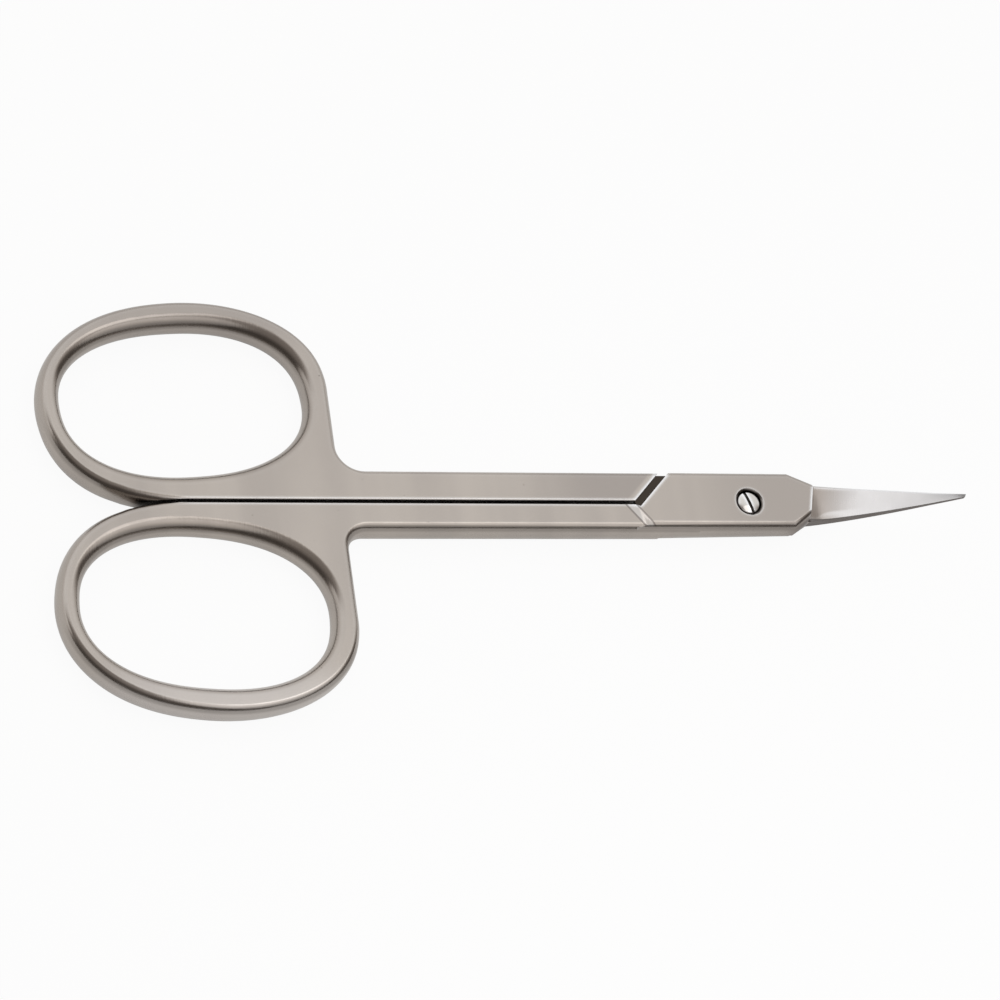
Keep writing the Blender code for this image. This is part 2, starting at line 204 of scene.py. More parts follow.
# Noises, finer with a larger scale: tones and grain are drawn out across the shank
NOISE_DETAIL = 2
NOISE_SPREAD = (0.3, 0.7)
TONE_SCALE = 260
TONE_STRETCH = (1, 0.08, 0.3)
TONE_SHARE = 0.6
CLOUD_SCALE = 90
GRAIN_SCALE = 9000
GRAIN_STRETCH = (1, 0.04, 0.15)
WEAR_SCALE = 500
WEAR_DETAIL = 3
PIT_SCALE = 2600
PIT_DETAIL = 1
PIT_SPREAD = (0.78, 0.84)
PIT_SHARE = 0.5

# Where a tone of the steel comes in or fades out, along X
SHOULDER_DULL_REACH = (-0.024, -0.015)
JOINT_BRIGHT_REACH = (-0.012, -0.007)
JOINT_BRIGHT_SHARE = 0.35
JOINT_DULL_REACH = (-0.006, -0.001)
PLATE_DULL_REACH = (-0.003, 0.003)
PLATE_DULL_SHARE = 0.35
PLATE_END_REACH = (0.003, 0.0065)
PIT_REACH = (0.003, 0.0068)
BLADE_REACH = (0.0068, 0.0125)

# Where a tone of the steel, or the shade and light painted on the rings, comes in or fades out, along Y
# and Z
PARTING_REACH = (0, 0.0002)
UPPER_RING_SHADE_REACH = (0.014, 0.019)
UPPER_RING_SHADE_SHARE = 0.7
LOWER_RING_LIGHT_REACH = (-0.0195, -0.015)
LOWER_RING_LIGHT_SHARE = 0.6
WORN_AND_LIT_HEIGHT = (0.0019, 0.0024)

# Where the dark reflections painted on walls and blade flanks come in, by how much a face looks up or to
# the front, from 0 to 1
WALL_UPRIGHT = (0.2, 0.9)
FLANK_UPRIGHT = (0.3, 0.7)
BAND_START = (0.2, 0.42)
BAND_STOP = (0.6, 0.85)
BAND_FACING = (0.1, 0.5)
BAND_SHARE = 0.35

# Wear and painted highlights along edges, painted shade in crevices, and the ramp's painted highlight and
# shadow lines
CREVICE_SAMPLES = 8
# Edges brightened partly by wear, partly by a painted highlight
EDGE_WEAR_AND_HIGHLIGHT_REACH = 0.0004
EDGE_OPENNESS = (0.55, 0.98)
EDGE_SHARE = 0.8
# Painted shade in crevices, in the notch and round the screw's head
CREVICE_SHADE_REACH = 0.0011
CREVICE_SHADE_OPENNESS = (0.02, 0.7)
NOTCH_SHADE_HEIGHT = (LAP_HEIGHT * 0.8, LAP_HEIGHT * 0.9)
RECESS_SHADE_WIDTH = 0.00012
RECESS_SHADE_SHARE = 0.85
RECESS_SHADE_FADE = (RECESS_CHAMFER / 4, RECESS_CHAMFER * 0.8)
# A painted highlight on the ramp, and painted shadow lines along its edges
RAMP_HEIGHT = (HANDLE_THICKNESS * 0.97, HANDLE_THICKNESS * 0.98)
RAMP_HIGHLIGHT_SHARE = 0.2
RAMP_SHADOW_LINE = 0.00012
RAMP_SHADOW_LINE_SHARE = 0.6

# Floor, a white sheet just below the part
FLOOR_SIZE = 4
FLOOR_GAP = 0.00002
FLOOR_COLOUR = (0.93, 0.93, 0.93)
FLOOR_ROUGHNESS = 0.9
FLOOR_GLOW = 0.94
FLOOR_MIRRORED_GLOW = 0.5

# Studio: levels of light from behind and from the front, by how far up and right they come from
WHITE = (1, 1, 1)
WARM = (1, 0.87, 0.78)
BEHIND_RISE = (0.1, 0.7)
BEHIND_LEVELS = (0.78, 1.05)
FRONT_RISE = (0.4, 0.98)
FRONT_LOW_LEVEL = 0.13
CEILING_RIGHT = (-0.1, 0.4)
CEILING_LEVELS = (0.3, 0.75)
FRONT_EDGE = (-0.4, -0.12)
FRONT_TURN = (-0.95, -0.75)
FRONT_TURN_BY = 0.3

# Lamps
SOFT_LIGHT_PLACE = (0.27, 0.06, 0.8)
SOFT_LIGHT_SIZE = 0.38
SOFT_LIGHT_RADIANCE = 0.9
BLADE_LIGHT_PLACE = (0.004, -0.053, 0.063)
BLADE_LIGHT_SIZE = 0.12
BLADE_LIGHT_RADIANCE = 0.45

# Camera, placed so that the part is seen as in the photograph
CAMERA_TARGET = (-0.02389, 0.00159, 0)
CAMERA_DISTANCE = 0.3385
CAMERA_TILT = math.radians(31.96)
CAMERA_AZIMUTH = math.radians(39.62)
CAMERA_ROLL = math.radians(-8.94)
CAMERA_LENS = 130.1
CAMERA_SENSOR = 36
CAMERA_CLIP = 0.01

# Axes, and the way to the front
X_AXIS, Y_AXIS, Z_AXIS = (1, 0, 0), (0, 1, 0), (0, 0, 1)
FRONTWARDS = (0, -1, 0)

HALF_SIZES = "name side shank_width neck_radius plate_step notch spine_width spine_taper spine_angle"
Half = namedtuple("Half", HALF_SIZES)


def new_object(name, mesh):
    obj = bpy.data.objects.new(name, mesh)
    bpy.context.scene.collection.objects.link(obj)
    return obj


def evaluated_mesh(obj):
    graph = bpy.context.evaluated_depsgraph_get()
    return bpy.data.meshes.new_from_object(obj.evaluated_get(graph))


def boolean(obj, other, operation):
    modifier = obj.modifiers.new(f"{operation.lower()} {other.name}", "BOOLEAN")
    modifier.operation = operation
    modifier.solver = "EXACT"
    modifier.object = other


def mesh_of_curve(name, curve):
    """The curve as a welded mesh, in a new object."""
    scratch = bpy.data.objects.new(name, curve)
    bpy.context.scene.collection.objects.link(scratch)
    mesh = evaluated_mesh(scratch)
    bpy.data.objects.remove(scratch)
    bpy.data.curves.remove(curve)
    work = bmesh.new()
    work.from_mesh(mesh)
    bmesh.ops.remove_doubles(work, verts=work.verts, dist=WELD)
    bmesh.ops.recalc_face_normals(work, faces=work.faces)
    work.to_mesh(mesh)
    work.free()
    return new_object(name, mesh)


def filled_curve(name, outline):
    curve = bpy.data.curves.new(name, "CURVE")
    curve.dimensions = "2D"
    curve.fill_mode = "BOTH"
    spline = curve.splines.new("POLY")
    spline.points.add(len(outline) - 1)
    for point, (x, y) in zip(spline.points, outline):
        point.co = (x, y, 0, 1)
    spline.use_cyclic_u = True
    return curve


def prism(name, outline, low, high):
    """A flat outline between two heights."""
    curve = filled_curve(name, outline)
    curve.extrude = (high - low) / 2
    obj = mesh_of_curve(name, curve)
    obj.data.transform(Matrix.Translation((0, 0, (low + high) / 2)))
    return obj


def forged_plate(name, outline, thickness):
    """Flat faces with the given outline, joined by walls that bulge out between them."""
    curve = filled_curve(name, outline)
    curve.bevel_depth = WALL_BULGE
    curve.bevel_resolution = WALL_STEPS
    obj = mesh_of_curve(name, curve)
    for vertex in obj.data.vertices:
        vertex.co.z = thickness / 2 * (1 + round(vertex.co.z / WALL_BULGE, SINE_DIGITS))
    return obj


def turned(name, profile):
    """A profile of (radius, height) points, from the top down its outer side, turned about the Z axis."""
    mesh = bpy.data.meshes.new(name)
    points = [(radius, 0, height) for radius, height in profile]
    mesh.from_pydata(points, [(i, i + 1) for i in range(len(points) - 1)], [])
    obj = new_object(name, mesh)
    screw = obj.modifiers.new("turn", "SCREW")
    screw.angle = math.tau
    screw.steps = ROUND_STEPS
    screw.render_steps = ROUND_STEPS
    screw.use_merge_vertices = True
    screw.merge_threshold = WELD
    return obj


def signed_power(value, power):
    return math.copysign(abs(value) ** power, value)


def superellipse(centre, half_length, half_width, power, turn, taper, angles):
    """Points at these angles on a rounded oval, turned, and narrower towards +X with a taper below 0."""
    points = []
    for angle in angles:
        u = half_length * signed_power(math.cos(angle), 2 / power)
        v = half_width * signed_power(math.sin(angle), 2 / power) * (1 + taper * u / half_length)
        point = Vector((u, v)) @ Matrix.Rotation(-turn, 2)
        points.append((centre[0] + point.x, centre[1] + point.y))
    return points


def steps(start, stop, count):
    return [start + (stop - start) * i / count for i in range(count + 1)]


def bow(start, corner, stop, count):
    """Points on the curve that leaves the start towards the corner and reaches the stop from it."""
    points = []
    for share in steps(0, 1, count):
        near = Vector(start).lerp(corner, share)
        far = Vector(corner).lerp(stop, share)
        points.append(tuple(near.lerp(far, share)))
    return points


def on_side(points, side):
    return [(x, side * y) for x, y in points]


def ring_centre():
    return -RING_FROM_PIVOT, RING_HALF_WIDTH + RING_LIFT


def handle_outline(half):
    """Ring, neck and shank of a half whose ring is at +Y, past the parting line and into the joint."""
    angles = steps(RING_START, RING_STOP, RING_POINTS)
    ring = superellipse(
        ring_centre(), RING_HALF_LENGTH, RING_HALF_WIDTH, RING_POWER, RING_TURN, RING_TAPER, angles
    )
    neck_x = ring[0][0]
    radius = half.neck_radius
    centre = (neck_x + radius, half.shank_width + radius)
    neck = [
        (centre[0] - radius * math.sin(angle), centre[1] - radius * math.cos(angle))
        for angle in steps(0, math.pi / 2, NECK_POINTS)
    ]
    end_x = -SHOULDER_FROM_PIVOT / 2
    foot_x = -RING_FOOT_FROM_PIVOT
    heel = bow(ring[-1], (foot_x - HEEL_LENGTH, HEEL_LIFT), (foot_x, 0), HEEL_POINTS)
    return [(end_x, -OVERRUN), (end_x, half.shank_width), *neck, *ring, *heel[1:], (foot_x, -OVERRUN)]


def hole_outline(bulge_share):
    """The finger hole where its wall has come in by this share of its bulge."""
    x, y = ring_centre()
    return superellipse(
        (x - HOLE_BACK_SHIFT, y - HOLE_IN_SHIFT),
        RING_HALF_LENGTH - HOLE_END_BAND - HOLE_END_BULGE * bulge_share,
        RING_HALF_WIDTH - HOLE_SIDE_BAND - HOLE_SIDE_BULGE * bulge_share,
        HOLE_POWER,
        HOLE_TURN,
        0,
        steps(0, math.tau, HOLE_POINTS)[:-1],
    )


def shoulder_x(y):
    """Where the shoulder line of a half whose ring is at +Y crosses this y."""
    return -SHOULDER_FROM_PIVOT + y / math.tan(SHOULDER_ANGLE)


def plate_outline(half):
    """The joint plate of a half whose ring is at +Y: its blade's spine is on the -Y side."""
    spine_slope = math.tan(half.spine_angle)
    edge_slope = math.tan(EDGE_CORNER_ANGLE)
    end_x = PLATE_END + OVERRUN
    width = half.shank_width - half.plate_step
    clear = WALL_BULGE + OVERRUN
    if half.side == FRONT:
        edge_x = parting_x = -RAMP_FROM_PIVOT - RAMP_WIDTH - clear
    else:
        edge_x = shoulder_x(width) + clear
        parting_x = shoulder_x(0) + clear
    corner_y = half.spine_taper - half.spine_width
    return [
        (-SHOULDER_FROM_PIVOT - OVERRUN, -half.spine_width),
        (SPINE_CORNER, corner_y),
        (end_x, corner_y + (end_x - SPINE_CORNER) * spine_slope),
        (end_x, width - (end_x - EDGE_CORNER) * edge_slope),
        (EDGE_CORNER, width),
        (edge_x, width),
        (parting_x, 0),
        (-SHOULDER_FROM_PIVOT - OVERRUN, 0),
    ]


def other_handle_outline(notch, rounding):
    """What a half leaves free for the other half's handle, with a notch of this width at its shoulder."""
    sine = math.sin(SHOULDER_ANGLE)
    cosine = math.cos(SHOULDER_ANGLE)
    edge_y = PARTING_GAP / 2 + rounding
    corner = Vector((-SHOULDER_FROM_PIVOT + notch * sine, notch * cosine))
    low = corner + Vector((cosine, -sine)) * (corner.y + WIDEST) / sine
    lead = NOTCH_LEAD_SHARE * max(corner.y - edge_y, 0)
    return [
        (-FAR_LEFT, edge_y),
        (corner.x - lead, edge_y),
        (corner.x, max(corner.y, edge_y)),
        (low.x, low.y),
        (-FAR_LEFT, low.y),
    ]


def lap_height(x, y):
    """Height of the surface where the two halves meet: flat at the joint, rising towards the tip."""
    reach = (math.hypot(x, y) - BEND_START) / (TIP_FROM_PIVOT - BEND_START)
    if x < 0 or reach < 0:
        return LAP_HEIGHT
    return LAP_HEIGHT + TIP_RISE * reach**BEND_POWER


def closed_mesh(name, work):
    """What the bmesh holds, with its faces turned outwards, in a new object."""
    bmesh.ops.recalc_face_normals(work, faces=work.faces)
    mesh = bpy.data.meshes.new(name)
    work.to_mesh(mesh)
    work.free()
    return new_object(name, mesh)


def stacked_block(name, levels):
    """A closed block through outlines that have the same number of points, each at its height."""
    work = bmesh.new()
    rings = [[work.verts.new((x, y, height)) for x, y in outline] for height, outline in levels]
    for low, high in zip(rings, rings[1:]):
        for i in range(len(low)):
            work.faces.new((low[i - 1], low[i], high[i], high[i - 1]))
    work.faces.new(rings[0])
    work.faces.new(rings[-1])
    return closed_mesh(name, work)


def hole_block(name, side):
    """What a finger leaves free: a waisted block, narrowest halfway up the ring."""
    angles = steps(-math.pi / 2, math.pi / 2, 2 * (WALL_STEPS + 1))
    shares = [(HANDLE_THICKNESS / 2 * (1 + math.sin(angle)), math.cos(angle)) for angle in angles]
    shares = [(-OVERRUN, 0), *shares, (HANDLE_THICKNESS + OVERRUN, 0)]
    levels = [(height, on_side(hole_outline(share), side)) for height, share in shares]
    return stacked_block(name, levels)


def other_handle_block(name, half):
    """What a half leaves free for the other half's handle, flared to leave the parting edges round."""
    rounds = [(-OVERRUN, 0)]
    for angle in steps(0, math.pi / 2, PARTING_STEPS):
        height = HANDLE_THICKNESS - PARTING_ROUNDING * (1 - math.sin(angle))
        rounds.append((height, PARTING_ROUNDING * (1 - math.cos(angle))))
    rounds.append((PLATE_TOP + OVERRUN, PARTING_ROUNDING))
    levels = []
    for height, out in rounds:
        levels.append((height, on_side(other_handle_outline(half.notch, out), half.side)))
    return stacked_block(name, levels)


def grid_block(name, lower, upper):
    """A closed block between two grids of points that have the same rows and columns."""
    work = bmesh.new()
    layers = [[[work.verts.new(point) for point in row] for row in grid] for grid in (lower, upper)]
    rows = len(lower)
    columns = len(lower[0])
    for grid in layers:
        for i in range(rows - 1):
            for j in range(columns - 1):
                work.faces.new((grid[i][j], grid[i + 1][j], grid[i + 1][j + 1], grid[i][j + 1]))
    rim = [(i, 0) for i in range(rows)]
    rim += [(rows - 1, j) for j in range(1, columns)]
    rim += [(i, columns - 1) for i in range(rows - 2, -1, -1)]
    rim += [(0, j) for j in range(columns - 2, 0, -1)]
    for (i, j), (k, m) in zip(rim, rim[1:] + rim[:1]):
        work.faces.new((layers[0][i][j], layers[0][k][m], layers[1][k][m], layers[1][i][j]))
    return closed_mesh(name, work)


def lap_block(name, side):
    """What a half leaves free for the other half's plate and blade."""
    far = -OVERRUN if side == FRONT else PLATE_TOP + TIP_RISE + OVERRUN
    meeting, flat = [], []
    for y in steps(-WIDEST, WIDEST, LAP_ROWS):
        start_x = shoulder_x(y) if y > 0 else -SHOULDER_FROM_PIVOT + y
        end_x = TIP_FROM_PIVOT + OVERRUN
        columns = [(x, side * y) for x in steps(start_x, 0, FLAT_LAP_COLUMNS)]
        columns += [(x, side * y) for x in steps(0, BEND_START, FLAT_LAP_COLUMNS)[1:]]
        columns += [(x, side * y) for x in steps(BEND_START, end_x, LAP_COLUMNS)[1:]]
        meeting.append([Vector((*point, lap_height(*point) - side * LAP_GAP / 2)) for point in columns])
        flat.append([Vector((*point, far)) for point in columns])
    return grid_block(name, flat, meeting)


def blade_block(name, side):
    """A blade whose spine is on the side away from its ring, past the surface where the halves meet."""
    start_x = SPINE_CORNER / 2
    meeting, outer = [], []
    for x in steps(start_x, TIP_FROM_PIVOT, BLADE_SECTIONS):
        share = max((x - BEND_START) / (TIP_FROM_PIVOT - BEND_START), 0)
        bow_share = share * (1 - share)
        centre = ROOT_OFFSET + (TIP_OFFSET - ROOT_OFFSET) * share
        half = ROOT_HALF_WIDTH + (TIP_HALF_WIDTH - ROOT_HALF_WIDTH) * share + BLADE_BELLY * bow_share
        spine = ROOT_SPINE + (TIP_SPINE - ROOT_SPINE) * share + SPINE_BELLY * bow_share
        run_share = max(1 - (x - BEND_START) / EDGE_RUN_LENGTH, 0)
        edge = EDGE_THICKNESS + EDGE_RUN_OUT * min(run_share, 1) ** 2
        bevel = min(SPINE_BEVEL, half / 2, spine / 2)
        places = [(half, edge), (0, (edge + spine) / 2), (bevel - half, spine), (-half, spine - bevel)]
        inner_row, outer_row = [], []
        for across, height in places:
            y = centre + side * across
            inner_row.append(Vector((x, y, lap_height(x, y) + side * OVERRUN / 2)))
            outer_row.append(Vector((x, y, lap_height(x, y) - side * height)))
        meeting.append(inner_row)
        outer.append(outer_row)
    return grid_block(name, meeting, outer)


def ramp_block(name):
    """What is cut from the raised plate at its left end, down to the shank's top face by a ramp."""
    outline = [
        (-RAMP_WIDTH, -OVERRUN),
        (-RAMP_WIDTH, HANDLE_THICKNESS - PLATE_RAISE),
        (RAMP_WIDTH * RAMP_RISE_SHARE, HANDLE_THICKNESS + PLATE_RAISE * RAMP_RISE_SHARE),
        (-SHOULDER_FROM_PIVOT, HANDLE_THICKNESS + PLATE_RAISE * RAMP_RISE_SHARE),
        (-SHOULDER_FROM_PIVOT, -OVERRUN),
    ]
    obj = prism(name, outline, -SHOULDER_FROM_PIVOT, SHOULDER_FROM_PIVOT)
    upright = Matrix.Rotation(math.pi / 2, 4, "X")
    turn = Matrix.Rotation(math.pi / 2 - RAMP_ANGLE, 4, "Z")
    obj.data.transform(Matrix.Translation((-RAMP_FROM_PIVOT, 0, 0)) @ turn @ upright)
    return obj


def plate_block(half):
    name = f"{half.name}_plate"
    thickness = PLATE_TOP if half.side == FRONT else HANDLE_THICKNESS
    obj = forged_plate(name, on_side(plate_outline(half), half.side), thickness)
    lean = math.tan(PLATE_END_ANGLE)
    beyond = PLATE_END + SHOULDER_FROM_PIVOT
    outline = [
        (PLATE_END + lean * WIDEST, -WIDEST),
        (beyond, -WIDEST),
        (beyond, WIDEST),
        (PLATE_END - lean * WIDEST, WIDEST),
    ]
    end = prism(f"{name}_end", on_side(outline, half.side), -OVERRUN, PLATE_TOP + OVERRUN)
    boolean(obj, end, "DIFFERENCE")
    return obj


def finish_mesh(name, rough, cutters, material):
    """The cut shape as a new piece with rounded edges and smooth walls."""
    mesh = evaluated_mesh(rough)
    for obj in [rough, *cutters]:
        bpy.data.objects.remove(obj)
    work = bmesh.new()
    work.from_mesh(mesh)
    bmesh.ops.remove_doubles(work, verts=work.verts, dist=WELD)
    bmesh.ops.dissolve_limit(work, angle_limit=FLAT_ANGLE, verts=work.verts, edges=work.edges)
    work.to_mesh(mesh)
    work.free()
    mesh.name = name
    piece = new_object(name, mesh)
    mesh.materials.clear()
    mesh.materials.append(material)
    mesh.shade_smooth()
    rounding = piece.modifiers.new("rounded_edges", "BEVEL")
    rounding.width = EDGE_ROUNDING
    rounding.segments = ROUNDING_STEPS
    rounding.limit_method = "ANGLE"
    rounding.angle_limit = SHARP_ANGLE
    rounding.use_clamp_overlap = True
    normals = piece.modifiers.new("flat_faces", "WEIGHTED_NORMAL")
    normals.keep_sharp = True
    normals.weight = NORMAL_WEIGHT
    return piece


def make_lever(half, hole_profile, material):
    """One half of the scissors, with its ring, shank, plate and blade in one piece."""
    name, side = f"{half.name}_rough", half.side
    before = set(bpy.data.objects)
    body = forged_plate(name, on_side(handle_outline(half), side), HANDLE_THICKNESS)
    boolean(body, hole_block(f"{name}_finger_hole", side), "DIFFERENCE")
    plate = plate_block(half)
    if side == FRONT:
        boolean(plate, ramp_block(f"{name}_ramp"), "DIFFERENCE")
    boolean(body, plate, "UNION")
    boolean(body, blade_block(f"{name}_blade", side), "UNION")
    boolean(body, other_handle_block(f"{name}_other_handle", half), "DIFFERENCE")
    boolean(body, lap_block(f"{name}_lap", side), "DIFFERENCE")
    boolean(body, turned(f"{name}_hole", hole_profile), "DIFFERENCE")
    cutters = [obj for obj in bpy.data.objects if obj not in before and obj != body]
    return finish_mesh(half.name, body, cutters, material)


def make_front_lever(material):
    hole = SCREW_RADIUS + SCREW_CLEARANCE
    recess = HEAD_RADIUS + RECESS_CLEARANCE
    profile = [
        (0, PLATE_TOP + RECESS_CHAMFER),
        (recess + RECESS_CHAMFER * 2, PLATE_TOP + RECESS_CHAMFER),
        (recess, PLATE_TOP - RECESS_CHAMFER),
        (recess, SEAT_HEIGHT),
        (hole, SEAT_HEIGHT),
        (hole, -OVERRUN),
        (0, -OVERRUN),
    ]
    sizes = Half(
        name="front_lever",
        side=FRONT,
        shank_width=FRONT_SHANK_WIDTH,
        neck_radius=FRONT_NECK_RADIUS,
        plate_step=FRONT_PLATE_STEP,
        notch=FRONT_NOTCH,
        spine_width=FRONT_SPINE_WIDTH,
        spine_taper=FRONT_SPINE_TAPER,
        spine_angle=FRONT_SPINE_ANGLE,
    )
    return make_lever(sizes, profile, material)


def make_back_lever(material):
    hole = SCREW_RADIUS + SCREW_CLEARANCE
    profile = [(0, PLATE_TOP), (hole, PLATE_TOP), (hole, -OVERRUN), (0, -OVERRUN)]
    sizes = Half(
        name="back_lever",
        side=BACK,
        shank_width=BACK_SHANK_WIDTH,
        neck_radius=BACK_NECK_RADIUS,
        plate_step=BACK_PLATE_STEP,
        notch=BACK_NOTCH,
        spine_width=BACK_SPINE_WIDTH,
        spine_taper=BACK_SPINE_TAPER,
        spine_angle=BACK_SPINE_ANGLE,
    )
    return make_lever(sizes, profile, material)


def make_screw(material):
    top = PLATE_TOP - HEAD_SINK
    under_head = SEAT_HEIGHT + RECESS_CLEARANCE
    dome = [
        (HEAD_RADIUS * math.sin(angle), top - HEAD_DOME * (1 - math.cos(angle)))
        for angle in steps(0, math.pi / 2, DOME_POINTS)
    ]
    profile = [
        *dome,
        (HEAD_RADIUS, under_head),
        (SCREW_RADIUS, under_head),
        (SCREW_RADIUS, SCREW_CHAMFER),
        (SCREW_RADIUS - SCREW_CHAMFER, 0),
        (0, 0),
    ]
    screw = turned("screw_rough", profile)
    half_length = HEAD_RADIUS + OVERRUN
    half_width = SLOT_WIDTH / 2
    outline = [
        (-half_length, -half_width),
        (half_length, -half_width),
        (half_length, half_width),
        (-half_length, half_width),
    ]
    slot = prism("screw_slot", outline, top - SLOT_DEPTH, top + OVERRUN)
    slot.rotation_euler.z = SLOT_ANGLE
    boolean(screw, slot, "DIFFERENCE")
    return finish_mesh("slotted_screw", screw, [slot], material)


class Nodes:
    """Short calls for building a node tree."""

    def __init__(self, tree):
        self.tree = tree

    def add(self, kind, **values):
        node = self.tree.nodes.new(kind)
        for key, value in values.items():
            setattr(node, key, value)
        return node

    def put(self, target, value):
        if isinstance(value, bpy.types.NodeSocket):
            self.tree.links.new(value, target)
        else:
            target.default_value = value

    def math(self, operation, *values):
        node = self.add("ShaderNodeMath", operation=operation)
        for socket, value in zip(node.inputs, values):
            self.put(socket, value)
        return node.outputs[0]

    def product(self, first, *others):
        for other in others:
            first = self.math("MULTIPLY", first, other)
        return first

    def dot(self, vector, direction):
        node = self.add("ShaderNodeVectorMath", operation="DOT_PRODUCT")
        self.put(node.inputs[0], vector)
        self.put(node.inputs[1], direction)
        return node.outputs["Value"]

    def smooth(self, value, low, high, to_low=0.0, to_high=1.0):
        """A soft step from to_low, below low, to to_high, above high."""
        node = self.add("ShaderNodeMapRange", interpolation_type="SMOOTHSTEP")
        for socket, entry in zip(node.inputs, (value, low, high, to_low, to_high)):
            self.put(socket, entry)
        return node.outputs[0]

    def noise(self, vector, scale, detail=NOISE_DETAIL):
        node = self.add("ShaderNodeTexNoise")
        self.put(node.inputs["Vector"], vector)
        self.put(node.inputs["Scale"], scale)
        self.put(node.inputs["Detail"], detail)
        return node.outputs["Fac"]

    def stretched(self, vector, scale):
        node = self.add("ShaderNodeMapping")
        self.put(node.inputs["Vector"], vector)
        self.put(node.inputs["Scale"], scale)
        return node.outputs[0]

    def colour(self, factor, first, second):
        """The first colour where the factor is 0, and the second where it is 1."""
        node = self.add("ShaderNodeMix", data_type="RGBA")
        self.put(node.inputs[0], factor)
        for socket, entry in zip(node.inputs[6:8], (first, second)):
            self.put(socket, entry if isinstance(entry, bpy.types.NodeSocket) else (*entry, 1))
        return node.outputs[2]


def crevice(nodes, distance, inside=False):
    """How open the surface is within this distance. From inside, it is low near an outer edge."""
    node = nodes.add("ShaderNodeAmbientOcclusion", samples=CREVICE_SAMPLES, inside=inside)
    nodes.put(node.inputs["Distance"], distance)
    return node.outputs["AO"]


def past_shoulder(nodes, place):
    """How far a point lies along the way across the shoulder line, and where the line itself lies."""
    beyond = nodes.dot(place, (math.sin(SHOULDER_ANGLE), -math.cos(SHOULDER_ANGLE), 0))
    return beyond, -SHOULDER_FROM_PIVOT * math.sin(SHOULDER_ANGLE)


def notch_shade(nodes, place):
    """How far a point lies in the groove between the back half's shoulder and the front plate, where shade
    is painted.
    """
    beyond, start = past_shoulder(nodes, place)
    upper = nodes.smooth(nodes.dot(place, Y_AXIS), -FRONT_NOTCH, 0)
    near = nodes.smooth(beyond, start + FRONT_NOTCH, start + 2 * FRONT_NOTCH, 1, 0)
    far = nodes.smooth(beyond, start - FRONT_NOTCH / 2, start)
    height = nodes.dot(place, Z_AXIS)
    deep = nodes.smooth(height, LAP_HEIGHT, HANDLE_THICKNESS, 1, 0)
    above = nodes.smooth(height, *NOTCH_SHADE_HEIGHT)
    return nodes.product(near, far, upper, deep, above)


def recess_shade(nodes, place):
    """How far a point lies in the ring between the screw's head and its recess, where shade is painted."""
    length = nodes.add("ShaderNodeVectorMath", operation="LENGTH")
    nodes.put(length.inputs[0], nodes.stretched(place, (1, 1, 0)))
    radius = length.outputs["Value"]
    start = HEAD_RADIUS - RECESS_SHADE_WIDTH
    stop = HEAD_RADIUS - RECESS_SHADE_WIDTH / 2
    outside = nodes.smooth(radius, start, stop, 0, RECESS_SHADE_SHARE)
    rim = HEAD_RADIUS + RECESS_CLEARANCE
    fade_start, fade_stop = RECESS_SHADE_FADE
    inside = nodes.smooth(radius, rim + fade_start, rim + fade_stop, 1, 0)
    upper = nodes.smooth(nodes.dot(place, Z_AXIS), LAP_HEIGHT, SEAT_HEIGHT)
    return nodes.product(outside, inside, upper)


def ramp_painted_light(nodes, place):
    """How far a point lies on the ramp that rises to the front plate, for a painted highlight, and on the
    lines that bound it, for painted shadow lines.
    """
    beyond = nodes.dot(place, (math.sin(RAMP_ANGLE), math.cos(RAMP_ANGLE), 0))
    start = -RAMP_FROM_PIVOT * math.sin(RAMP_ANGLE)
    raised = nodes.smooth(nodes.dot(place, Z_AXIS), *RAMP_HEIGHT)
    lower = nodes.smooth(nodes.dot(place, Y_AXIS), -PARTING_GAP, 0, 1, 0)
    raised = nodes.product(raised, lower)
    ramp = nodes.math("COMPARE", beyond, start + RAMP_WIDTH / 2, RAMP_WIDTH / 2)
    lines = []
    for edge in (start, start + RAMP_WIDTH):
        distance = nodes.math("ABSOLUTE", nodes.math("SUBTRACT", beyond, edge))
        lines.append(nodes.smooth(distance, RAMP_SHADOW_LINE / 2, RAMP_SHADOW_LINE, 1, 0))
    lines = nodes.math("MAXIMUM", *lines)
    return nodes.product(ramp, raised), nodes.product(lines, raised)


def tones_and_painted_light(nodes, place, base):
    """Slow changes of tone: a duller shoulder and plate, painted shade on the upper ring, and painted
    light on the lower ring.
    """
    along = nodes.dot(place, X_AXIS)
    across = nodes.dot(place, Y_AXIS)
    beyond, start = past_shoulder(nodes, place)
    shank = nodes.product(
        nodes.smooth(along, *SHOULDER_DULL_REACH),
        nodes.smooth(across, *PARTING_REACH),
        nodes.smooth(beyond, start - FRONT_NOTCH, start - FRONT_NOTCH / 2, 1, 0),
    )
    plate = nodes.smooth(along, *PLATE_DULL_REACH, 0, PLATE_DULL_SHARE)
    # Painted shade on the upper ring
    ring = nodes.smooth(across, *UPPER_RING_SHADE_REACH, 0, UPPER_RING_SHADE_SHARE)
    for share in (shank, plate, ring):
        base = nodes.colour(share, base, DARK_TONE_AND_SHADE)
    # Painted light on the lower ring
    lower_ring = nodes.smooth(across, *LOWER_RING_LIGHT_REACH, LOWER_RING_LIGHT_SHARE, 0)
    return nodes.colour(lower_ring, base, PAINTED_LIGHT_TONE)


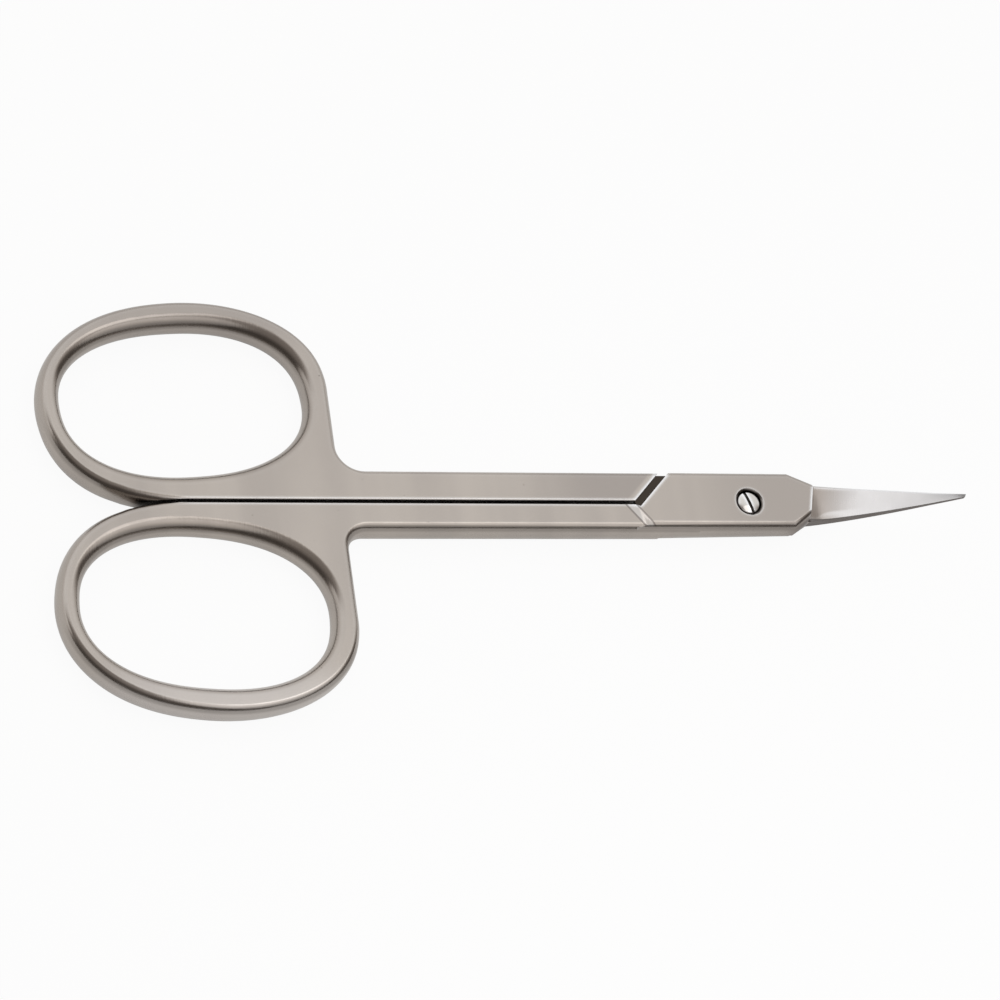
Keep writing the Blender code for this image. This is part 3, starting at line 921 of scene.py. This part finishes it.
def metal_tones(nodes, place, along, dull, bright):
    """The bare metal: streaks across the shank, slow tone changes with painted shade and light on the
    rings, and the brighter blades.
    """
    streaks = nodes.noise(nodes.stretched(place, TONE_STRETCH), TONE_SCALE)
    clouds = nodes.noise(place, CLOUD_SCALE)
    streaks = nodes.math("MULTIPLY", streaks, TONE_SHARE)
    clouds = nodes.math("MULTIPLY", clouds, 1 - TONE_SHARE)
    tint = nodes.math("ADD", streaks, clouds)
    base = nodes.colour(nodes.smooth(tint, *NOISE_SPREAD), dull, bright)
    base = nodes.colour(nodes.smooth(along, *JOINT_BRIGHT_REACH, 0, JOINT_BRIGHT_SHARE), base, bright)
    base = nodes.colour(nodes.smooth(along, *JOINT_DULL_REACH), base, dull)
    base = tones_and_painted_light(nodes, place, base)
    return nodes.colour(nodes.smooth(along, *BLADE_REACH), base, BLADE_AND_HIGHLIGHT_COLOUR)


def painted_wall_reflections(nodes, along, normal, upright, base):
    """Painted dark reflections: a band on walls that face the front, short of the blades, and the blades'
    dark flanks.
    """
    band = nodes.product(
        nodes.smooth(upright, *BAND_START),
        nodes.smooth(upright, *BAND_STOP, BAND_SHARE, 0),
        nodes.smooth(nodes.dot(normal, FRONTWARDS), *BAND_FACING),
        nodes.smooth(along, *PLATE_END_REACH, 1, 0),
    )
    # A dark band of painted reflection on walls that face the front
    base = nodes.colour(band, base, SHADE_AND_DIRT_COLOUR)
    flank = nodes.product(
        nodes.smooth(upright, *FLANK_UPRIGHT, 1, 0),
        nodes.smooth(along, *PLATE_END_REACH),
    )
    # The blades' flanks painted dark as their reflection
    return nodes.colour(flank, base, PAINTED_SHADE_COLOUR)


def edge_wear_and_highlight(nodes, place, base):
    """Bright edges on the upper part of a piece, partly wear where handling has rubbed them, partly a
    painted highlight.
    """
    edge = nodes.smooth(crevice(nodes, EDGE_WEAR_AND_HIGHLIGHT_REACH, inside=True), *EDGE_OPENNESS, EDGE_SHARE, 0)
    worn_and_lit = nodes.smooth(nodes.dot(place, Z_AXIS), *WORN_AND_LIT_HEIGHT)
    # Edges brightened, partly as wear and partly as a painted highlight
    return nodes.colour(nodes.product(edge, worn_and_lit), base, BLADE_AND_HIGHLIGHT_COLOUR)


def painted_light_and_pits(nodes, place, along, base):
    """The ramp's painted highlight and shadow lines, painted shade in crevices, in the notch and round the
    screw's head, and dirt in pits.
    """
    ramp, lines = ramp_painted_light(nodes, place)
    # A painted highlight on the ramp, and painted shadow lines along its edges
    base = nodes.colour(nodes.math("MULTIPLY", ramp, RAMP_HIGHLIGHT_SHARE), base, BLADE_AND_HIGHLIGHT_COLOUR)
    base = nodes.colour(nodes.math("MULTIPLY", lines, RAMP_SHADOW_LINE_SHARE), base, PAINTED_SHADE_COLOUR)
    # Painted shade, darker where the surface is less open
    openness = nodes.smooth(crevice(nodes, CREVICE_SHADE_REACH), *CREVICE_SHADE_OPENNESS)
    base = nodes.colour(openness, SHADE_AND_DIRT_COLOUR, base)
    # Painted shade in the notch and round the screw's head
    base = nodes.colour(notch_shade(nodes, place), base, SHADE_AND_DIRT_COLOUR)
    base = nodes.colour(recess_shade(nodes, place), base, SHADE_AND_DIRT_COLOUR)
    pits = nodes.noise(place, PIT_SCALE, PIT_DETAIL)
    pit = nodes.smooth(pits, *PIT_SPREAD, 0, nodes.smooth(along, *PIT_REACH, PIT_SHARE, 0))
    return nodes.colour(pit, base, SHADE_AND_DIRT_COLOUR)


def surface_roughness(nodes, place, along, upright, roughness):
    """Uneven roughness, a little more on the forged walls and on the ground blades."""
    wear = nodes.noise(place, WEAR_SCALE, WEAR_DETAIL)
    smoothest, roughest = (roughness * share for share in ROUGHNESS_SPREAD)
    rough = nodes.smooth(wear, *NOISE_SPREAD, smoothest, roughest)
    forged = nodes.smooth(upright, *WALL_UPRIGHT, WALL_ROUGHNESS, 0)
    ground = nodes.smooth(along, *BLADE_REACH, 0, BLADE_ROUGHNESS)
    return nodes.math("ADD", nodes.math("ADD", rough, forged), ground)


def steel(name, dull, bright, roughness, grain_depth):
    """Stainless steel with a fine grain across the shank, slow tone changes, painted shade and highlights,
    and dirt in pits.
    """
    material = bpy.data.materials.new(name)
    material.use_nodes = True
    nodes = Nodes(material.node_tree)
    shader = material.node_tree.nodes["Principled BSDF"]
    coordinates = nodes.add("ShaderNodeTexCoord").outputs
    place = coordinates["Object"]
    along = nodes.dot(place, X_AXIS)
    normal = coordinates["Normal"]
    upright = nodes.math("ABSOLUTE", nodes.dot(normal, Z_AXIS))
    base = metal_tones(nodes, place, along, dull, bright)
    base = edge_wear_and_highlight(nodes, place, base)
    base = painted_wall_reflections(nodes, along, normal, upright, base)
    base = painted_light_and_pits(nodes, place, along, base)
    nodes.put(shader.inputs["Base Color"], base)
    rough = surface_roughness(nodes, place, along, upright, roughness)
    nodes.put(shader.inputs["Roughness"], rough)
    shader.inputs["Metallic"].default_value = 1
    bump = nodes.add("ShaderNodeBump")
    nodes.put(bump.inputs["Height"], nodes.noise(nodes.stretched(place, GRAIN_STRETCH), GRAIN_SCALE))
    nodes.put(bump.inputs["Distance"], grain_depth)
    bump.inputs["Strength"].default_value = GRAIN_STRENGTH
    nodes.put(shader.inputs["Normal"], bump.outputs[0])
    return material


def make_floor():
    """A white sheet that takes the part's shadow."""
    bpy.ops.mesh.primitive_plane_add(size=FLOOR_SIZE, location=(0, 0, -FLOOR_GAP))
    floor = bpy.context.object
    floor.name = "floor"
    material = bpy.data.materials.new("white_paper")
    material.use_nodes = True
    tree = material.node_tree
    nodes = Nodes(tree)
    shader = tree.nodes["Principled BSDF"]
    shader.inputs["Base Color"].default_value = (*FLOOR_COLOUR, 1)
    shader.inputs["Roughness"].default_value = FLOOR_ROUGHNESS
    shader.inputs["Specular IOR Level"].default_value = 0
    white = nodes.add("ShaderNodeEmission")
    mix = nodes.add("ShaderNodeMixShader")
    path = nodes.add("ShaderNodeLightPath").outputs
    seen = nodes.math("MULTIPLY", path["Is Camera Ray"], FLOOR_GLOW)
    mirrored = nodes.math("MAXIMUM", path["Is Glossy Ray"], path["Is Transmission Ray"])
    mirrored = nodes.math("MULTIPLY", mirrored, FLOOR_MIRRORED_GLOW)
    nodes.put(mix.inputs[0], nodes.math("ADD", seen, mirrored))
    nodes.put(mix.inputs[1], shader.outputs[0])
    nodes.put(mix.inputs[2], white.outputs[0])
    nodes.put(tree.nodes["Material Output"].inputs["Surface"], mix.outputs[0])
    floor.data.materials.append(material)


def make_world():
    """A studio as the steel mirrors it: a pale room, dark low in front, with a bright soft ceiling."""
    world = bpy.data.worlds.new("studio")
    bpy.context.scene.world = world
    world.use_nodes = True
    nodes = Nodes(world.node_tree)
    direction = nodes.add("ShaderNodeTexCoord").outputs["Generated"]
    up = nodes.dot(direction, Z_AXIS)
    front = nodes.dot(direction, FRONTWARDS)
    right = nodes.dot(direction, X_AXIS)
    turn = nodes.smooth(right, *FRONT_TURN, FRONT_TURN_BY, 0)
    side = nodes.smooth(nodes.math("SUBTRACT", front, turn), *FRONT_EDGE)
    behind = nodes.smooth(up, *BEHIND_RISE, *BEHIND_LEVELS)
    ceiling = nodes.smooth(right, *CEILING_RIGHT, *CEILING_LEVELS)
    before = nodes.smooth(up, *FRONT_RISE, FRONT_LOW_LEVEL, ceiling)
    change = nodes.math("SUBTRACT", before, behind)
    level = nodes.math("ADD", behind, nodes.math("MULTIPLY", side, change))
    background = world.node_tree.nodes["Background"]
    nodes.put(background.inputs["Color"], nodes.colour(level, WARM, WHITE))
    nodes.put(background.inputs["Strength"], level)


def make_lamp(name, place, size, radiance):
    """A round soft lamp that faces the pivot."""
    lamp = bpy.data.lights.new(name, "AREA")
    lamp.shape = "DISK"
    lamp.size = size
    lamp.energy = radiance * math.pi * math.pi * (size / 2) ** 2
    obj = bpy.data.objects.new(name, lamp)
    obj.location = place
    obj.rotation_euler = Vector(place).to_track_quat("Z", "Y").to_euler()
    obj.visible_camera = False
    bpy.context.scene.collection.objects.link(obj)


def make_camera():
    """A camera tilted from straight above, turned about the vertical, and rolled about its own view."""
    sideways = math.sin(CAMERA_TILT)
    away = Vector((
        -sideways * math.sin(CAMERA_AZIMUTH),
        -sideways * math.cos(CAMERA_AZIMUTH),
        math.cos(CAMERA_TILT),
    ))
    up = Vector(Y_AXIS)
    up = (up - away * up.dot(away)).normalized()
    right = up.cross(away)
    turned_right = right * math.cos(CAMERA_ROLL) + up * math.sin(CAMERA_ROLL)
    turned_up = up * math.cos(CAMERA_ROLL) - right * math.sin(CAMERA_ROLL)
    camera = bpy.data.cameras.new("camera")
    camera.lens = CAMERA_LENS
    camera.sensor_width = CAMERA_SENSOR
    camera.clip_start = CAMERA_CLIP
    obj = bpy.data.objects.new("camera", camera)
    matrix = Matrix((turned_right, turned_up, away)).transposed().to_4x4()
    matrix.translation = Vector(CAMERA_TARGET) + away * CAMERA_DISTANCE
    obj.matrix_world = matrix
    bpy.context.scene.collection.objects.link(obj)
    bpy.context.scene.camera = obj


satin = steel("satin_steel", SATIN_DULL, SATIN_BRIGHT, SATIN_ROUGHNESS, SATIN_GRAIN_DEPTH)
polished = steel(
    "polished_steel", POLISHED_DULL, POLISHED_BRIGHT, POLISHED_ROUGHNESS, POLISHED_GRAIN_DEPTH
)
back_lever = make_back_lever(satin)
front_lever = make_front_lever(satin)
slotted_screw = make_screw(polished)
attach(back_lever, "back")
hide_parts("back_half")
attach(front_lever, "front")
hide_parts("front_half")
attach(slotted_screw, "back")
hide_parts("pivot_screw")
make_floor()
make_world()
make_lamp("soft_light", SOFT_LIGHT_PLACE, SOFT_LIGHT_SIZE, SOFT_LIGHT_RADIANCE)
make_lamp("blade_light", BLADE_LIGHT_PLACE, BLADE_LIGHT_SIZE, BLADE_LIGHT_RADIANCE)
make_camera()
bpy.context.scene.view_settings.view_transform = "Standard"
